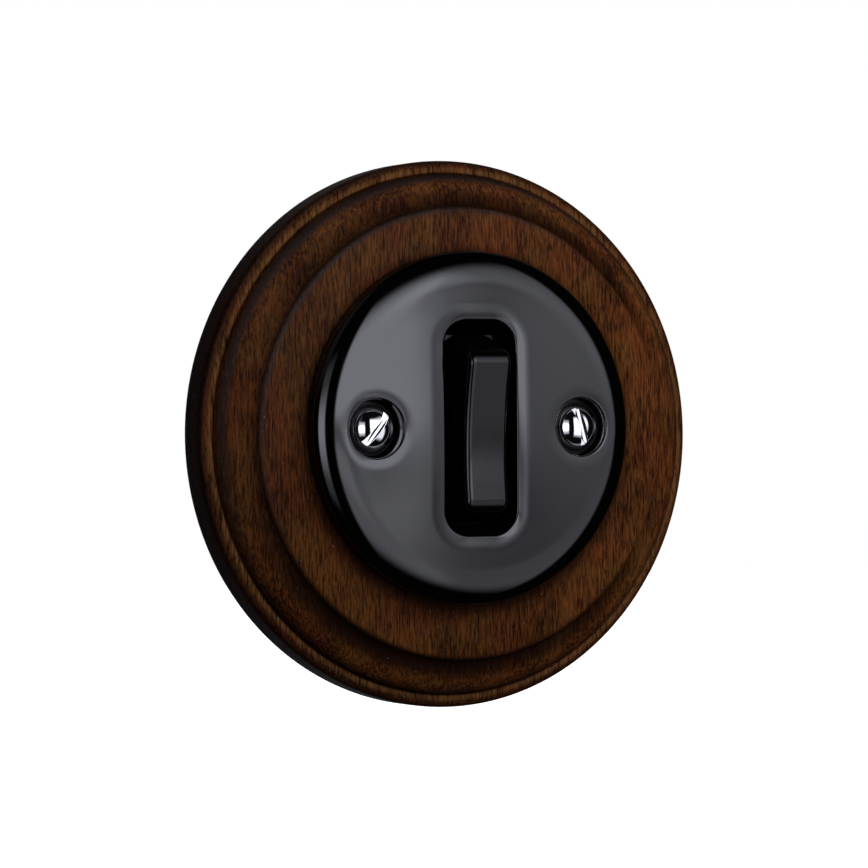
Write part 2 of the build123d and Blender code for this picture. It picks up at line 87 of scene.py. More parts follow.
class NodeSheet:
    """Short hand for adding nodes to one node tree and joining their sockets."""

    noise_spread: Span = (0.3, 0.7)

    def __init__(self, tree: bpy.types.NodeTree) -> None:
        """Keep the tree that nodes are added to."""
        self.tree = tree

    def add(self, kind: str, values: dict[Any, Any] | None = None, **settings: Any) -> bpy.types.Node:
        """Add one node.

        Args:
            kind: Node type, without the leading "ShaderNode".
            values: Names or numbers of input sockets, with a plain value or a socket to join.
            settings: Properties of the node itself.

        Returns:
            The new node.
        """
        node = self.tree.nodes.new("ShaderNode" + kind)
        for name, setting in settings.items():
            setattr(node, name, setting)
        for name, value in (values or {}).items():
            self.put(node.inputs[name], value)
        return node

    def put(self, socket: Socket, value: Any) -> None:
        """Join a socket to another one, or set its plain value.

        Args:
            socket: Input socket.
            value: Socket to join it to, or the value to set.
        """
        if isinstance(value, bpy.types.NodeSocket):
            self.tree.links.new(value, socket)
        else:
            socket.default_value = value

    def math(self, operation: str, first: Any, second: Any = 0.0) -> Socket:
        """Result of a Math node for two values or sockets."""
        return self.add("Math", {0: first, 1: second}, operation=operation).outputs[0]

    def length(self, x: Any, y: Any, z: Any) -> Socket:
        """Length of a vector: the root of its three squares added up."""
        vector = self.add("CombineXYZ", {"X": x, "Y": y, "Z": z}).outputs[0]
        return self.add("VectorMath", {0: vector}, operation="LENGTH").outputs["Value"]

    def band(self, value: Any, low: float, high: float, start: float = 0.0, end: float = 1.0) -> Socket:
        """Map a range of values smoothly onto another.

        Args:
            value: Socket to map.
            low: Value that gives start.
            high: Value that gives end.
            start: Result at and below low.
            end: Result at and above high.

        Returns:
            The result's socket.
        """
        values = {"Value": value, "From Min": low, "From Max": high, "To Min": start, "To Max": end}
        return self.add("MapRange", values, interpolation_type="SMOOTHSTEP").outputs[0]

    def spread(self, noise: Socket, start: float, end: float) -> Socket:
        """Map the usual spread of a noise smoothly onto another range."""
        return self.band(noise, *self.noise_spread, start, end)

    def mix(self, factor: Any, first: Any, second: Any, blend: str = "MIX") -> Socket:
        """Mix two colours.

        Args:
            factor: How much of the second is used.
            first: First colour or socket.
            second: Second colour or socket.
            blend: Way of mixing.

        Returns:
            The mixed colour's socket.
        """
        values = {0: factor, 6: first, 7: second}
        return self.add("Mix", values, data_type="RGBA", blend_type=blend).outputs[2]

    def noise(self, vector: Socket, scale: Any, detail: float, roughness: float = 0.5) -> Socket:
        """Add a noise texture.

        Args:
            vector: Coordinates.
            scale: Waves per unit of the coordinates.
            detail: Number of finer layers.
            roughness: Strength of the finer layers.

        Returns:
            The noise value's socket.
        """
        values = {"Vector": vector, "Scale": scale, "Detail": detail, "Roughness": roughness}
        return self.add("TexNoise", values).outputs[0]

    def millimetres(self, stretch: tuple[float, float, float] = (1.0, 1.0, 1.0)) -> Socket:
        """Object coordinates in millimetres, times a stretch for each axis.

        Args:
            stretch: Factor for X, Y and Z.

        Returns:
            The coordinates' socket.
        """
        place = self.add("TexCoord").outputs["Object"]
        scale = tuple(s / MM for s in stretch)
        return self.add("Mapping", {"Vector": place, "Scale": scale}).outputs[0]

    def axes(self, vector: Socket) -> Any:
        """Parts of a vector along X, Y and Z."""
        return self.add("SeparateXYZ", {"Vector": vector}).outputs


class EffectGroups:
    """Shader node groups that several finishes share."""

    line_draw: float = 0.06
    line_detail: float = 5.0
    tarnish_waves: float = 0.35
    tarnish_detail: float = 3.0
    cloud_detail: float = 1.0
    speck_detail: float = 4.0

    def __init__(self) -> None:
        """Build each group once."""
        self.mottle = self._mottle()
        self.brushing = self._brushing()

    @staticmethod
    def _start(name: str, inputs: dict[str, float], outputs: list[str]) -> tuple[NodeSheet, Any, Any]:
        """Make an empty group.

        Args:
            name: The group's name.
            inputs: Input names with their usual values.
            outputs: Output names.

        Returns:
            The group's sheet, its given values and its results.
        """
        tree = bpy.data.node_groups.new(name, "ShaderNodeTree")
        for label, value in inputs.items():
            socket = tree.interface.new_socket(label, in_out="INPUT", socket_type="NodeSocketFloat")
            socket.default_value = value
        for label in outputs:
            tree.interface.new_socket(label, in_out="OUTPUT", socket_type="NodeSocketFloat")
        given = tree.nodes.new("NodeGroupInput").outputs
        return NodeSheet(tree), given, tree.nodes.new("NodeGroupOutput").inputs

    def _mottle(self) -> bpy.types.NodeTree:
        """Cloudy unevenness: a broad wave and a fine one, in waves per millimetre.

        Returns:
            The group.
        """
        sheet, given, results = self._start("mottle", {"Broad": 0.1, "Fine": 2.0}, ["Cloud", "Speck"])
        place = sheet.millimetres()
        sheet.put(results["Cloud"], sheet.noise(place, given["Broad"], self.cloud_detail))
        sheet.put(results["Speck"], sheet.noise(place, given["Fine"], self.speck_detail))
        return sheet.tree

    def _brushing(self) -> bpy.types.NodeTree:
        """Fine drawn lines along X with a little tarnish, for rolled and plated metal.

        Returns:
            The group.
        """
        sheet, given, results = self._start("brushing", {"Lines": 3.0}, ["Line", "Tarnish"])
        drawn = sheet.millimetres((self.line_draw, 1.0, 1.0))
        sheet.put(results["Line"], sheet.noise(drawn, given["Lines"], self.line_detail))
        tarnish = sheet.noise(sheet.millimetres(), self.tarnish_waves, self.tarnish_detail)
        sheet.put(results["Tarnish"], tarnish)
        return sheet.tree


class MaterialSheet(NodeSheet):
    """Sheet of one new material, with its Principled shader and the shared effects."""

    def __init__(self, name: str, groups: EffectGroups) -> None:
        """Start an empty material.

        Args:
            name: The material's name.
            groups: Shared effects.
        """
        self.material = bpy.data.materials.new(name)
        self.material.use_nodes = True
        super().__init__(self.material.node_tree)
        self.shader = self.tree.nodes["Principled BSDF"]
        self.groups = groups

    def give(self, name: str, value: Any) -> None:
        """Join or set one input of the shader."""
        self.put(self.shader.inputs[name], value)

    def mottle(self, broad: float, fine: float) -> Any:
        """Cloud and Speck of the shared unevenness, in waves per millimetre."""
        return self.add("Group", {"Broad": broad, "Fine": fine}, node_tree=self.groups.mottle).outputs

    def brushing(self, lines: float) -> Any:
        """Line and Tarnish of the shared drawn lines, in waves per millimetre."""
        return self.add("Group", {"Lines": lines}, node_tree=self.groups.brushing).outputs

    def stored(self, name: str) -> Socket:
        """Number that is stored at the piece's points."""
        return self.add("Attribute", attribute_name=name).outputs["Fac"]

    def emboss(self, height: Socket, strength: float, depth: float) -> None:
        """Raise the surface by a height, with its depth in millimetres."""
        bump = self.add("Bump", {"Height": height, "Strength": strength, "Distance": depth * MM})
        self.give("Normal", bump.outputs[0])


class Finish(ABC):
    """Base of every finish: a material with one Principled shader."""

    slot: Slot

    def build(self, groups: EffectGroups) -> bpy.types.Material:
        """Make the material.

        Args:
            groups: Shared effects.

        Returns:
            The material.
        """
        sheet = MaterialSheet(self.slot.value, groups)
        self.paint(sheet)
        return sheet.material

    @abstractmethod
    def paint(self, sheet: MaterialSheet) -> None:
        """Give the shader its colour, roughness and relief.

        Args:
            sheet: The material's sheet.
        """


@dataclass(frozen=True)
class Grain:
    """Noise drawn out upright: waves per millimetre, the share of them along Z, and its finer layers."""

    waves: float
    along: float
    detail: float
    roughness: float = 0.5

    def lay(self, sheet: NodeSheet) -> Socket:
        """Noise value of the grain."""
        place = sheet.millimetres((1.0, 1.0, self.along))
        return sheet.noise(place, self.waves, self.detail, self.roughness)


@dataclass(frozen=True)
class StainedWood(Finish):
    """Beech, stained dark and lacquered thinly; the grain runs upright in fine short dashes."""

    slot: Slot = Slot.WOOD
    dark: Colour = (0.017, 0.0058, 0.0028, 1.0)
    golden: Colour = (0.13, 0.047, 0.0105, 1.0)
    reddish: Colour = (0.13, 0.0375, 0.0095, 1.0)
    rubbed: Colour = (0.17, 0.085, 0.03, 1.0)
    # Bluish grey of the painted sheen.
    painted_sheen_colour: Colour = (0.036, 0.028, 0.026, 1.0)
    # Dark brown of the pores, also used for the painted shade in the grooves.
    pore_and_painted_shade: Colour = (0.0055, 0.002, 0.0013, 1.0)
    dust: Colour = (0.2, 0.17, 0.15, 1.0)
    fibre: Grain = Grain(waves=2.6, along=0.11, detail=4.0, roughness=0.65)
    figure: Grain = Grain(waves=0.17, along=0.35, detail=2.0)
    pores: Grain = Grain(waves=3.3, along=0.14, detail=1.0)
    figure_share: float = 0.25
    tone_band: Span = (0.35, 0.65)
    pore_band: Span = (0.6, 0.7)
    pore_strength: float = 0.7
    pore_depth: float = 0.5
    cloud_waves: float = 0.1
    cloud_band: Span = (0.42, 0.6)
    speck_waves: float = 2.2
    speck_band: Span = (0.69, 0.77)
    speck_strength: float = 0.5
    rub_band: Span = (0.3, 0.65)
    # Painted light and shade: the colour is multiplied by a factor that runs from the lower left to the upper
    # right, lighter where light from the upper right falls.
    painted_light_slant: float = 0.8
    painted_light_reach: float = 50.0
    shade: Span = (0.73, 1.17)
    sheen: Span = (0.48, 0.62)
    reflection: float = 0.004
    relief: float = 0.3
    relief_depth: float = 0.1

    def paint(self, sheet: MaterialSheet) -> None:
        """Lay grain and figure, paint shade that darkens towards the lower left and lightens towards the
        upper right, then add wear, pores, painted sheen, painted shade in the grooves and dust.

        Args:
            sheet: The material's sheet.
        """
        fibre = self.fibre.lay(sheet)
        pores = sheet.band(self.pores.lay(sheet), *self.pore_band)
        mottle = sheet.mottle(self.cloud_waves, self.speck_waves)
        fine_part = sheet.math("MULTIPLY", fibre, 1.0 - self.figure_share)
        broad_part = sheet.math("MULTIPLY", self.figure.lay(sheet), self.figure_share)
        tone = sheet.band(sheet.math("ADD", fine_part, broad_part), *self.tone_band)
        tint = sheet.mix(sheet.band(mottle["Cloud"], *self.cloud_band), self.golden, self.reddish)
        # Painted shade: darker towards the lower left, lighter towards the upper right.
        way = sheet.axes(sheet.millimetres())
        slant = sheet.math("ADD", way["Z"], sheet.math("MULTIPLY", way["X"], self.painted_light_slant))
        shade = sheet.band(slant, -self.painted_light_reach, self.painted_light_reach, *self.shade)
        colour = sheet.mix(1.0, sheet.mix(tone, self.dark, tint), shade, "MULTIPLY")
        specks = sheet.band(mottle["Speck"], *self.speck_band)
        layers = (
            (sheet.math("MULTIPLY", sheet.stored("wear"), sheet.band(fibre, *self.rub_band)), self.rubbed),
            (sheet.math("MULTIPLY", pores, self.pore_strength), self.pore_and_painted_shade),
            # Painted sheen: a bluish grey reflection painted on edges that face the upper left.
            (sheet.stored("painted_sheen"), self.painted_sheen_colour),
            # Painted shade: darkening in the grooves, next to the cover, on the outer wall and towards the
            # lower left.
            (sheet.stored("painted_shade"), self.pore_and_painted_shade),
            (sheet.math("MULTIPLY", specks, self.speck_strength), self.dust),
        )
        for share, layer in layers:
            colour = sheet.mix(share, colour, layer)
        sheet.give("Base Color", colour)
        sheet.give("Roughness", sheet.spread(fibre, *self.sheen))
        sheet.give("Specular IOR Level", self.reflection)
        height = sheet.math("SUBTRACT", fibre, sheet.math("MULTIPLY", pores, self.pore_depth))
        sheet.emboss(height, self.relief, self.relief_depth)


@dataclass(frozen=True)
class BlackGlaze(Finish):
    """Gloss black glaze that has flowed unevenly over porcelain."""

    slot: Slot = Slot.GLAZE
    body: Colour = (0.001, 0.001, 0.0012, 1.0)
    fleck: Colour = (0.012, 0.012, 0.013, 1.0)
    cloud_waves: float = 0.11
    speck_waves: float = 3.0
    fleck_band: Span = (0.7, 0.8)
    sheen: Span = (0.05, 0.08)
    refraction: float = 1.52
    reflection: float = 0.5
    relief: float = 0.05
    relief_depth: float = 0.3

    def paint(self, sheet: MaterialSheet) -> None:
        """Black with fine flecks, whose gloss and surface follow a broad wave.

        Args:
            sheet: The material's sheet.
        """
        mottle = sheet.mottle(self.cloud_waves, self.speck_waves)
        flecks = sheet.band(mottle["Speck"], *self.fleck_band)
        sheet.give("Base Color", sheet.mix(flecks, self.body, self.fleck))
        sheet.give("Roughness", sheet.spread(mottle["Cloud"], *self.sheen))
        sheet.give("IOR", self.refraction)
        sheet.give("Specular IOR Level", self.reflection)
        sheet.emboss(mottle["Cloud"], self.relief, self.relief_depth)


@dataclass(frozen=True)
class GlossPlastic(BlackGlaze):
    """Moulded gloss black plastic, built up as the glaze is."""

    slot: Slot = Slot.PLASTIC
    body: Colour = (0.0015, 0.0015, 0.0017, 1.0)
    fleck: Colour = (0.03, 0.03, 0.032, 1.0)
    cloud_waves: float = 0.25
    speck_waves: float = 6.0
    fleck_band: Span = (0.66, 0.78)
    sheen: Span = (0.11, 0.14)
    refraction: float = 1.5
    reflection: float = 0.33
    relief: float = 0.1
    relief_depth: float = 0.1


@dataclass(frozen=True)
class Metal(Finish):
    """Bare or plated metal with fine drawn lines and a little tarnish."""

    slot: Slot
    body: Colour
    dull: Colour
    sheen: Span
    lines: float = 3.0
    tarnish_band: Span = (0.45, 0.75)
    relief: float = 0.1
    relief_depth: float = 0.03

    def paint(self, sheet: MaterialSheet) -> None:
        """Dull the metal where it is tarnished, and roughen it along its lines.

        Args:
            sheet: The material's sheet.
        """
        brushing = sheet.brushing(self.lines)
        tarnish = sheet.band(brushing["Tarnish"], *self.tarnish_band)
        sheet.give("Base Color", sheet.mix(tarnish, self.body, self.dull))
        sheet.give("Roughness", sheet.spread(brushing["Line"], *self.sheen))
        sheet.give("Metallic", 1.0)
        sheet.emboss(brushing["Line"], self.relief, self.relief_depth)


@dataclass(frozen=True)
class ScrewChrome(Finish):
    """Polished chrome on domed screw heads, with painted shade at the sides of their milled slots; in
    millimetres.
    """

    slot: Slot = Slot.CHROME
    body: Colour = (0.86, 0.86, 0.87, 1.0)
    milled: Colour = (0.74, 0.74, 0.75, 1.0)
    painted_slot_dark: Colour = (0.01, 0.01, 0.011, 1.0)
    polish: Span = (0.03, 0.06)
    mill_lines: float = 4.0
    mill_marks: Span = (0.02, 0.06)
    slot_shade_roughness: float = 0.8
    screw_offset: float = 20.8
    dome_centre: float = 15.18
    dome_radius: float = 4.72
    cut_depths: Span = (0.2, 0.08)
    side_slopes: Span = (0.3, 0.6)
    slot_shade_height: float = 18.65
    slot_shade_fade: float = 0.1
    head_radius: float = 3.45
    head_insets: Span = (0.25, 0.1)
    ahead: tuple[float, float, float] = (0.0, -1.0, 0.0)

    def paint(self, sheet: MaterialSheet) -> None:
        """Find the slot within the dome's own sphere; its sides carry painted shade near the dome and are
        bright deeper down.

        Args:
            sheet: The material's sheet.
        """
        way = sheet.axes(sheet.millimetres())
        across = sheet.math("SUBTRACT", sheet.math("ABSOLUTE", way["X"]), self.screw_offset)
        out = sheet.math("ADD", way["Y"], self.dome_centre)
        from_centre = sheet.length(across, out, way["Z"])
        deep, shallow = (self.dome_radius - depth for depth in self.cut_depths)
        cut = sheet.band(from_centre, deep, shallow, 1.0, 0.0)
        surface = sheet.add("NewGeometry").outputs
        slope = sheet.math("ABSOLUTE", sheet.axes(surface["True Normal"])["Y"])
        sides = sheet.math("MULTIPLY", cut, sheet.band(slope, *self.side_slopes, 1.0, 0.0))
        low = sheet.band(way["Y"], -self.slot_shade_height - self.slot_shade_fade, -self.slot_shade_height + self.slot_shade_fade)
        from_axis = sheet.length(across, 0.0, way["Z"])
        near, far = (self.head_radius - inset for inset in self.head_insets)
        inner = sheet.band(from_axis, near, far, 1.0, 0.0)
        worn = sheet.math("MULTIPLY", sides, sheet.math("MULTIPLY", low, inner))
        # Painted shade: dark, dull slot sides near the dome.
        painted_slot_shade = sheet.math("SUBTRACT", sides, worn)
        metal = sheet.mix(cut, self.body, self.milled)
        sheet.give("Base Color", sheet.mix(painted_slot_shade, metal, self.painted_slot_dark))
        sheet.give("Metallic", sheet.math("SUBTRACT", 1.0, painted_slot_shade))
        bent = sheet.add("Mix", {0: worn, 4: surface["Normal"], 5: self.ahead}, data_type="VECTOR")
        sheet.give("Normal", bent.outputs[1])
        brushing = sheet.brushing(self.mill_lines)
        marks = sheet.math("MULTIPLY", cut, sheet.spread(brushing["Line"], *self.mill_marks))
        rough = sheet.math("ADD", sheet.spread(brushing["Tarnish"], *self.polish), marks)
        rough = sheet.math("ADD", rough, sheet.math("MULTIPLY", painted_slot_shade, self.slot_shade_roughness))
        sheet.give("Roughness", rough)


@dataclass(frozen=True)
class Bisque(Finish):
    """Unglazed or pressed material with a dull, finely pitted surface."""

    slot: Slot
    body: Colour
    stain: Colour
    sheen: Span
    cloud_waves: float = 0.12
    cloud_band: Span = (0.35, 0.75)
    speck_waves: float = 2.5
    relief: float = 0.3
    relief_depth: float = 0.06

    def paint(self, sheet: MaterialSheet) -> None:
        """Stain the body in clouds and pit it finely.

        Args:
            sheet: The material's sheet.
        """
        mottle = sheet.mottle(self.cloud_waves, self.speck_waves)
        cloud = sheet.band(mottle["Cloud"], *self.cloud_band)
        sheet.give("Base Color", sheet.mix(cloud, self.body, self.stain))
        sheet.give("Roughness", sheet.spread(mottle["Speck"], *self.sheen))
        sheet.emboss(mottle["Speck"], self.relief, self.relief_depth)


class FinishBook:
    """Every finish, built once and found by its slot."""

    def __init__(self, groups: EffectGroups) -> None:
        """Build all finishes.

        Args:
            groups: Shared effects.
        """
        finishes = [
            StainedWood(),
            BlackGlaze(),
            GlossPlastic(),
            ScrewChrome(),
            Metal(Slot.STEEL, (0.56, 0.57, 0.6, 1.0), (0.38, 0.38, 0.4, 1.0), sheen=(0.25, 0.45)),
            Metal(Slot.SPRING, (0.46, 0.46, 0.48, 1.0), (0.3, 0.3, 0.31, 1.0), sheen=(0.25, 0.4), lines=6.0),
            Metal(Slot.BRASS, (0.74, 0.52, 0.22, 1.0), (0.5, 0.32, 0.12, 1.0), sheen=(0.22, 0.42)),
            Metal(Slot.SILVER, (0.9, 0.88, 0.84, 1.0), (0.6, 0.57, 0.5, 1.0), sheen=(0.2, 0.35)),
            Bisque(Slot.STEATITE, (0.74, 0.7, 0.6, 1.0), (0.6, 0.54, 0.44, 1.0), sheen=(0.5, 0.7)),
            Bisque(Slot.FIBRE, (0.22, 0.075, 0.035, 1.0), (0.12, 0.04, 0.02, 1.0), sheen=(0.65, 0.85)),
        ]
        self.materials = {finish.slot: finish.build(groups) for finish in finishes}

    def dress(self, piece: bpy.types.Object, slot: Slot) -> None:
        """Give a piece one finish all over."""
        piece.data.materials.clear()
        piece.data.materials.append(self.materials[slot])


class MeshShop:
    """Makes meshes from arrays of points."""

    sharp_angle: float = 40.0

    @staticmethod
    def grid_faces(rows: int, columns: int) -> np.ndarray:
        """Quads over a grid of points, numbered row by row and closed both ways.

        Args:
            rows: Number of rows.
            columns: Number of columns.

        Returns:
            Corner numbers, one quad in each row of the array.
        """
        row = np.arange(rows)[:, None]
        column = np.arange(columns)[None, :]
        next_row = (row + 1) % rows
        next_column = (column + 1) % columns
        corners = [
            row * columns + column,
            next_row * columns + column,
            next_row * columns + next_column,
            row * columns + next_column,
        ]
        return np.stack(corners, axis=-1).reshape(-1, 4)

    @classmethod
    def build(cls, name: str, points: np.ndarray, faces: list[list[int]]) -> bpy.types.Object:
        """Put points and faces into a new smooth-shaded object at the origin.

        Args:
            name: The object's name.
            points: Points in millimetres.
            faces: Corner numbers of each face.

        Returns:
            The object.
        """
        mesh = bpy.data.meshes.new(name)
        mesh.from_pydata((points * MM).tolist(), [], faces)
        mesh.polygons.foreach_set("use_smooth", np.ones(len(mesh.polygons), dtype=bool))
        mesh.set_sharp_from_angle(angle=math.radians(cls.sharp_angle))
        mesh.update()
        piece = bpy.data.objects.new(name, mesh)
        bpy.context.scene.collection.objects.link(piece)
        return piece

    @staticmethod
    def face_outwards(piece: bpy.types.Object) -> None:
        """Turn the faces of closed shells outwards.

        Args:
            piece: Object whose mesh is turned.
        """
        shape = bmesh.new()
        shape.from_mesh(piece.data)
        bmesh.ops.recalc_face_normals(shape, faces=shape.faces)
        shape.to_mesh(piece.data)
        shape.free()

    @staticmethod
    def mark(piece: bpy.types.Object, name: str, values: np.ndarray) -> None:
        """Store one number at each point of a piece."""
        attribute = piece.data.attributes.new(name, "FLOAT", "POINT")
        attribute.data.foreach_set("value", values.astype(np.float32))


@dataclass
class WallFrame:
    """Turned wooden frame; sizes in millimetres, turns in degrees from the right."""

    book: FinishBook
    hang: float = 1.06
    rebate_radius: float = 38.5
    rebate_depth: float = 5.0
    bore_radius: float = 26.8
    plateau_radius: float = 41.2
    plateau_height: float = 13.5
    plateau_round: float = 0.7
    cove: float = 1.5
    ovolo_width: float = 4.9
    ovolo_rise: float = 4.0
    bead_width: float = 2.4
    bead_height: float = 7.6
    bead_round: float = 1.5
    quirk: float = 0.3
    back_chamfer: float = 0.6
    softness: float = 0.14
    arc_points: int = 40
    outline_step: float = 0.04
    shortest_step: float = 1e-6
    straight_pace: float = 60.0
    bend_pace: float = 12.0
    rings: int = 170
    spokes: int = 240
    # Radius, and how much is rubbed bare there.
    wear_knots: tuple[Span, ...] = ((47.7, 0.0), (48.0, 0.75), (48.4, 0.6), (48.9, 0.0))
    # Radius, and how much bluish painted sheen, a painted reflection, lies there.
    painted_sheen_knots: tuple[Span, ...] = (
        (32.0, 0.14),
        (40.0, 0.14),
        (40.6, 0.75),
        (41.1, 0.7),
        (41.5, 0.1),
        (46.0, 0.1),
        (46.4, 0.8),
        (47.2, 0.8),
        (47.5, 0.0),
        (49.0, 0.0),
        (49.3, 0.4),
        (49.6, 0.4),
        (49.9, 0.0),
    )
    painted_sheen_turn: float = 125.0
    # Radius, then the painted shade at the sides, above and below, and towards the lower left.
    painted_shade_knots: tuple[tuple[float, float, float, float], ...] = (
        (32.2, 0.9, 0.9, 0.9),
        (34.0, 0.2, 0.2, 0.3),
        (36.0, 0.0, 0.0, 0.1),
        (40.2, 0.0, 0.0, 0.05),
        (40.9, 0.05, 0.35, 0.9),
        (41.5, 0.1, 0.8, 0.97),
        (42.4, 0.1, 0.8, 0.97),
        (43.6, 0.0, 0.6, 0.85),
        (45.0, 0.0, 0.0, 0.2),
        (46.3, 0.35, 0.25, 0.25),
        (46.9, 0.75, 0.65, 0.5),
        (47.5, 0.5, 0.7, 0.9),
        (47.9, 0.1, 0.1, 0.4),
        (48.6, 0.1, 0.1, 0.35),
        (49.1, 0.45, 0.45, 0.6),
        (49.9, 0.9, 0.75, 0.9),
    )
    painted_shade_turn: float = 247.0
    painted_shade_start: float = 0.2
    painted_shade_growth: float = 0.5
    left_relief: float = 0.5
    outer_wall: float = 49.6

    def arc(self, centre: Span, radii: Span, start: float, end: float) -> np.ndarray:
        """Points of an elliptical arc: centre plus radii times (cos, sin) of an angle that runs evenly.

        Args:
            centre: Centre.
            radii: Radius along each axis.
            start: First angle in degrees.
            end: Last angle in degrees.

        Returns:
            Points along the arc.
        """
        angle = np.radians(np.linspace(start, end, self.arc_points))
        across = centre[0] + radii[0] * np.cos(angle)
        upright = centre[1] + radii[1] * np.sin(angle)
        return np.stack([across, upright], axis=1)

    def outline(self) -> np.ndarray:
        """Closed outline of the turning as (radius, height), from the back's inner edge round the front.

        Returns:
            Points evenly spaced along the outline.
        """
        ovolo = self.plateau_radius + self.cove
        quirk_radius = ovolo + self.ovolo_width
        edge = quirk_radius + self.bead_width
        low = self.bead_height - self.quirk
        cove_height = low + self.ovolo_rise + self.cove
        corner = self.bead_height - self.bead_round
        top = self.plateau_height - self.plateau_round
        back = [[self.rebate_radius, 0.0], [edge - self.back_chamfer, 0.0], [edge, self.back_chamfer]]
        bore = [[self.bore_radius, self.plateau_height], [self.bore_radius, self.rebate_depth]]
        runs = [
            np.array(back),
            self.arc((edge - self.bead_round, corner), (self.bead_round, self.bead_round), 0, 90),
            np.array([[quirk_radius, self.bead_height], [quirk_radius, low]]),
            self.arc((ovolo, low), (self.ovolo_width, self.ovolo_rise), 0, 90),
            self.arc((ovolo, cove_height), (self.cove, self.cove), 270, 180),
            self.arc((self.plateau_radius - self.plateau_round, top), (self.plateau_round,) * 2, 0, 90),
            np.array(bore),
            np.array([[self.rebate_radius, self.rebate_depth], [self.rebate_radius, 0.0]]),
        ]
        corners = np.concatenate(runs)
        length = np.concatenate([[0.0], np.cumsum(np.hypot(*np.diff(corners, axis=0).T))])
        even = np.arange(0.0, length[-1], self.outline_step)
        return np.stack([np.interp(even, length, corners[:, k]) for k in (0, 1)], axis=1)

    def soften(self, outline: np.ndarray) -> np.ndarray:
        """Ease the edges: a bell-curve average along the closed outline, by way of its spectrum.

        Args:
            outline: Points evenly spaced along the outline.

        Returns:
            The averaged points.
        """
        count = len(outline)
        offset = np.minimum(np.arange(count), count - np.arange(count)) * self.outline_step
        bell = np.exp(-0.5 * (offset / self.softness) ** 2)
        spectrum = np.fft.fft(bell / bell.sum())
        return np.real(np.fft.ifft(np.fft.fft(outline, axis=0) * spectrum[:, None], axis=0))

    def pick_rings(self, outline: np.ndarray) -> np.ndarray:
        """Pick points at even steps of a weight, which grows with length and with bend along the outline.

        Args:
            outline: Points along the closed outline.

        Returns:
            The picked points, closer together where the outline bends.
        """
        step = np.roll(outline, -1, axis=0) - outline
        length = np.hypot(*step.T)
        heading = np.unwrap(np.arctan2(step[:, 1], step[:, 0]))
        bend = np.diff(heading, append=heading[0] + FULL_TURN) / np.maximum(length, self.shortest_step)
        weight = np.cumsum(length / self.straight_pace + np.abs(bend) * length / self.bend_pace)
        picks = np.searchsorted(weight, np.linspace(0.0, weight[-1], self.rings, endpoint=False))
        return outline[np.unique(np.clip(picks, 0, len(outline) - 1))]

    def wear(self, radius: np.ndarray) -> np.ndarray:
        """Rubbed share at each point, the same all the way round a ring."""
        return np.repeat(np.interp(radius, *np.array(self.wear_knots).T), self.spokes)

    def painted_sheen(self, radius: np.ndarray, angle: np.ndarray) -> np.ndarray:
        """Painted sheen at each point: the ring's own, times the cosine of the angle off the sheen's turn."""
        painted_sheen = np.interp(radius, *np.array(self.painted_sheen_knots).T)[:, None]
        return (painted_sheen * np.clip(np.cos(angle - math.radians(self.painted_sheen_turn)), 0.0, 1.0)).ravel()

    def painted_shade(self, radius: np.ndarray, angle: np.ndarray) -> np.ndarray:
        """Painted shade in the grooves, next to the cover and on the outer wall: least at the left, more
        above and below, most towards the lower left.

        Args:
            radius: Radius of each ring.
            angle: Angle of each spoke.

        Returns:
            Darkness from 0 to 1 at each point.
        """
        knots = np.array(self.painted_shade_knots).T
        level, upright, low = (np.interp(radius, knots[0], column)[:, None] for column in knots[1:])
        toward_low = np.clip(np.cos(angle - math.radians(self.painted_shade_turn)), 0.0, 1.0)
        rise = np.clip((np.abs(np.sin(angle)) - self.painted_shade_start) / self.painted_shade_growth, 0.0, 1.0)
        lighter = 1.0 - self.left_relief * np.clip(-np.cos(angle), 0.0, 1.0)
        front = radius[:, None] < self.outer_wall
        groove = (level + (upright - level) * rise) * np.where(front, lighter, 1.0)
        return (groove + (np.maximum(low, groove) - groove) * toward_low**2).ravel()

    def make(self) -> bpy.types.Object:
        """Turn the softened outline about the frame's axis: radius times (cos, sin) of each spoke's angle.

        Returns:
            The frame, dressed and riding on the base.
        """
        radius, height = self.pick_rings(self.soften(self.outline())).T
        angle = np.linspace(0.0, FULL_TURN, self.spokes, endpoint=False)
        x = radius[:, None] * np.cos(angle)
        z = radius[:, None] * np.sin(angle) - self.hang
        y = np.broadcast_to(-height[:, None], x.shape)
        points = np.stack([x, y, z], axis=-1).reshape(-1, 3)
        faces = MeshShop.grid_faces(len(radius), self.spokes)
        piece = MeshShop.build("turned_frame", points, faces.tolist())
        MeshShop.mark(piece, "wear", self.wear(radius))
        MeshShop.mark(piece, "painted_shade", self.painted_shade(radius, angle))
        MeshShop.mark(piece, "painted_sheen", self.painted_sheen(radius, angle))
        self.book.dress(piece, Slot.WOOD)
        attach(piece, Body.BASE.value)
        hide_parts("wood_frame")
        return piece


@dataclass(frozen=True)
class GlazeLip:
    """Edge at which glaze rolls over into an opening; sizes in millimetres."""

    width: float
    tail: float
    corner: float
    slope: float
    bend: float = 0.15

    def drop(self, distance: np.ndarray) -> np.ndarray:
        """Drop of the glaze: a long parabola that starts level, then a bend into a steep side.

        Args:
            distance: Distances from the opening's wall.

        Returns:
            The drop at each distance.
        """
        far = np.clip(1.0 - distance / self.width, 0.0, 1.0)
        past = self.corner - distance
        return self.tail * far**2 + self.slope * (past + np.sqrt(past**2 + self.bend**2)) / 2


